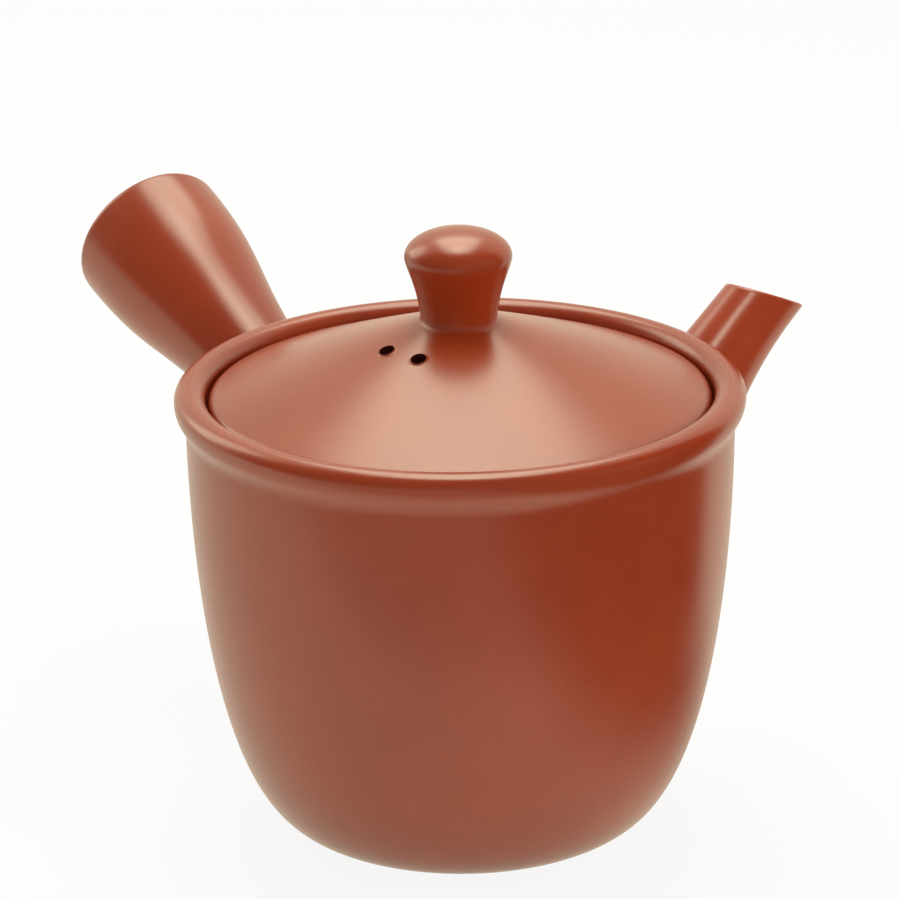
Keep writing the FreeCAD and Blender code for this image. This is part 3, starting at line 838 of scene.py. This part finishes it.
past_edge = np.arange(len(spout_grid)) - len(spout_outer) - len(outer_lip) - 4
spout_burnish = 1 - eased(past_edge / 12.0)[:, None] * 0.8 + 0 * tube_turn
spout_piece = clay_piece(
    "swelling_spout", spout_grid, closed_ring(spout_grid), strokes_of(spout_run, tube_turn), spout_burnish,
    "pot", "burnished_clay", ["spout"], burnished_clay)
luting("spout_luting", lambda run, turn: spout_stave(run, turn, 0.0), spout_root, -1.0, spout_slip,
       "pot", ["spout_slip_joint"])

# Strainer: the solids' own shape, in plain clay and slip
for cad_name, finish in (("strainer", plain_clay), ("strainer_slip_joint", slip_clay)):
    cad_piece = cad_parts[cad_name]
    cad_piece.data.materials.clear()
    cad_piece.data.materials.append(finish)


# Studio
CAMERA_AZIMUTH = -34.0
CAMERA_RIGHT = (math.cos(math.radians(CAMERA_AZIMUTH)), math.sin(math.radians(CAMERA_AZIMUTH)), 0)
CAMERA_NEAR = (math.sin(math.radians(CAMERA_AZIMUTH)), -math.cos(math.radians(CAMERA_AZIMUTH)), 0)
CAMERA_ELEVATION = 21.81
CAMERA_DISTANCE = 0.72
CAMERA_LENS = 168.51
AIM_AZIMUTH, AIM_ELEVATION, AIM_ROLL = -33.838, 19.746, -0.8
VIEW_MIDDLE = Vector((0, 0, 0.04014))
LAMP_MIDDLE = Vector((0, 0, 0.05))
WARM = (1.0, 0.96, 0.74, 1)
FLOOR_Z = -0.0002
FLOOR_HALF = 3.0
CARD_OFF, CARD_BACK, CARD_FORTH, CARD_HEIGHT = 0.118, 0.03, 0.45, 0.22


def away_from_pot(azimuth_deg, elevation_deg):
    """Unit direction from the pot to a place at an azimuth, with 0 in front of it, and an elevation."""
    azimuth, elevation = math.radians(azimuth_deg), math.radians(elevation_deg)
    return Vector((math.sin(azimuth) * math.cos(elevation), -math.cos(azimuth) * math.cos(elevation),
                   math.sin(elevation)))


def seen_rays(tree):
    """The kinds of ray, and whether one comes from the camera or through something clear."""
    rays = node(tree, "ShaderNodeLightPath").outputs
    seen = node(tree, "ShaderNodeMath", operation="MAXIMUM", _0=rays["Is Camera Ray"],
                _1=rays["Is Transmission Ray"])
    return rays, seen.outputs[0]


def along(tree, place, way):
    """How far a place lies along a direction: their dot product."""
    return node(tree, "ShaderNodeVectorMath", operation="DOT_PRODUCT", _0=place, _1=way).outputs["Value"]


def math_of(tree, operation, first, second):
    """Two numbers or sockets added, multiplied or the like."""
    return node(tree, "ShaderNodeMath", operation=operation, _0=first, _1=second).outputs[0]


def mixed(tree, share, first, second):
    """Two shaders mixed by a share."""
    return node(tree, "ShaderNodeMixShader", Fac=share, _1=first, _2=second).outputs[0]


def quad(name, corners, finish):
    """A flat staged piece with four corners."""
    mesh = bpy.data.meshes.new(name)
    mesh.from_pydata([tuple(corner) for corner in corners], [], [(0, 1, 2, 3)])
    mesh.materials.append(finish)
    made = bpy.data.objects.new(name, mesh)
    bpy.context.scene.collection.objects.link(made)
    return made


def studio_floor():
    """A wide pale floor, white to the camera, with the pot's soft shadow.

    In reflections it glows with a painted pool of light beside and behind the pot, falling off towards the
    camera, and with a painted shadow to the right in front, where the black card stands.
    """
    finish = bpy.data.materials.new("pale_floor")
    finish.use_nodes = True
    tree = finish.node_tree
    tree.nodes.clear()
    rays, seen = seen_rays(tree)
    white_share = math_of(tree, "MULTIPLY", seen, 0.90)
    # To reflections the floor glows: painted light, not lit by the lamps.
    painted_floor_glow_share = math_of(tree, "MULTIPLY", rays["Is Glossy Ray"], 0.95)
    place = node(tree, "ShaderNodeTexCoord").outputs["Object"]
    rightness, nearness = along(tree, place, CAMERA_RIGHT), along(tree, place, CAMERA_NEAR)
    # Painted pool of light round the pot, and a painted shadow to the right in front.
    painted_light_pool = fading(tree, nearness, 0.075, 0.165, 1.0, 0.42)
    on_right = fading(tree, rightness, 0.030, 0.090, 0.0, 1.0)
    in_front = fading(tree, nearness, -0.07, 0.01, 0.0, 1.0)
    lit = math_of(tree, "SUBTRACT", 1.0, math_of(tree, "MULTIPLY", on_right, in_front))
    matt = node(tree, "ShaderNodeBsdfDiffuse", Color=(0.86, 0.86, 0.86, 1))
    white = node(tree, "ShaderNodeEmission", Strength=1.0)
    painted_floor_glow = node(tree, "ShaderNodeEmission", Color=WARM, Strength=math_of(tree, "MULTIPLY", painted_light_pool, lit))
    plain = mixed(tree, white_share, matt.outputs[0], white.outputs[0])
    out = node(tree, "ShaderNodeOutputMaterial")
    tree.links.new(mixed(tree, painted_floor_glow_share, plain, painted_floor_glow.outputs[0]), out.inputs["Surface"])
    signs = ((-1, -1), (1, -1), (1, 1), (-1, 1))
    quad("floor", [(FLOOR_HALF * x, FLOOR_HALF * y, FLOOR_Z) for x, y in signs], finish)


def softbox(name, azimuth_deg, elevation_deg, distance, width, height, radiance, glint=True, only=None):
    """A soft lamp that faces the pot from an azimuth and elevation; watts = radiance x pi x its area.

    A lamp without glint is left out of reflections. With only, the lamp lights that one piece.
    """
    back = away_from_pot(azimuth_deg, elevation_deg)
    lamp = bpy.data.lights.new(name, "AREA")
    lamp.shape = "RECTANGLE"
    lamp.size = width
    lamp.size_y = height
    lamp.energy = radiance * math.pi * width * height
    lamp.color = WARM[:3]
    lamp_object = bpy.data.objects.new(name, lamp)
    lamp_object.location = LAMP_MIDDLE + back * distance
    lamp_object.rotation_mode = "QUATERNION"
    lamp_object.rotation_quaternion = (-back).to_track_quat("-Z", "Y")
    lamp_object.visible_camera = False
    lamp_object.visible_glossy = glint
    bpy.context.scene.collection.objects.link(lamp_object)
    if only:
        lit = bpy.data.collections.new(name + "_lights")
        lit.objects.link(only)
        lamp_object.light_linking.receiver_collection = lit


def dark_card():
    """A black card on the camera's right that only reflections show, a painted dark reflection on the pot's
    dark side.
    """
    finish = bpy.data.materials.new("black_card")
    finish.use_nodes = True
    finish.node_tree.nodes.clear()
    matt = node(finish.node_tree, "ShaderNodeBsdfDiffuse", Color=(0.02, 0.02, 0.02, 1))
    out = node(finish.node_tree, "ShaderNodeOutputMaterial")
    finish.node_tree.links.new(matt.outputs[0], out.inputs["Surface"])
    right, near = np.array(CAMERA_RIGHT), np.array(CAMERA_NEAR)
    back, forth = CARD_OFF * right - CARD_BACK * near, CARD_OFF * right + CARD_FORTH * near
    rise = (0, 0, CARD_HEIGHT)
    card = quad("black_card", [back, forth, forth + rise, back + rise], finish)
    card.visible_camera = False
    card.visible_diffuse = False
    card.visible_shadow = False
    card.visible_transmission = False


def studio_world(level):
    """A room with plain fill light at a level, white to the camera, and dark near it in reflections."""
    world = bpy.data.worlds.new("studio")
    bpy.context.scene.world = world
    world.use_nodes = True
    tree = world.node_tree
    tree.nodes.clear()
    rays, seen = seen_rays(tree)
    way = node(tree, "ShaderNodeTexCoord").outputs["Generated"]
    shade = fading(tree, along(tree, way, CAMERA_NEAR), -0.5, 0.05, 1.0, 0.08)
    fill = node(tree, "ShaderNodeBackground", Color=(1, 1, 1, 1), Strength=level)
    white = node(tree, "ShaderNodeBackground", Color=(1, 1, 1, 1), Strength=1.0)
    room = node(tree, "ShaderNodeBackground", Color=WARM, Strength=shade)
    plain = mixed(tree, seen, fill.outputs[0], white.outputs[0])
    out = node(tree, "ShaderNodeOutputWorld")
    tree.links.new(mixed(tree, rays["Is Glossy Ray"], plain, room.outputs[0]), out.inputs["Surface"])


studio_floor()
dark_card()
studio_world(0.42)
softbox("top_softbox", CAMERA_AZIMUTH + 180, 68, 0.75, 0.42, 0.64, 3.6)
softbox("overhead_strip", CAMERA_AZIMUTH + 180, 82, 0.75, 0.16, 0.30, 3.0)
softbox("left_softbox", CAMERA_AZIMUTH - 125, 30, 0.8, 0.35, 0.5, 2.2)
softbox("right_fill", CAMERA_AZIMUTH + 70, 22, 0.8, 0.40, 0.40, 3.2, glint=False)
softbox("front_fill", CAMERA_AZIMUTH + 15, 16, 0.9, 0.50, 0.30, 1.8, glint=False)
softbox("spout_strip", CAMERA_AZIMUTH - 18, 59, 0.6, 0.14, 0.20, 8.0, only=spout_piece)


def camera():
    """The photograph's viewing place, turned a little up from the pot's middle to frame it."""
    data = bpy.data.cameras.new("camera")
    data.sensor_width = 36.0
    data.lens = CAMERA_LENS
    data.clip_start, data.clip_end = 0.01, 20.0
    viewer = bpy.data.objects.new("camera", data)
    turn = (Matrix.Rotation(math.radians(AIM_AZIMUTH), 4, "Z")
            @ Matrix.Rotation(math.radians(90 - AIM_ELEVATION), 4, "X")
            @ Matrix.Rotation(math.radians(AIM_ROLL), 4, "Z"))
    place = away_from_pot(CAMERA_AZIMUTH, CAMERA_ELEVATION) * CAMERA_DISTANCE + VIEW_MIDDLE
    viewer.matrix_world = Matrix.Translation(place) @ turn
    bpy.context.scene.collection.objects.link(viewer)
    bpy.context.scene.camera = viewer


camera()
bpy.context.scene.view_settings.view_transform = "Standard"
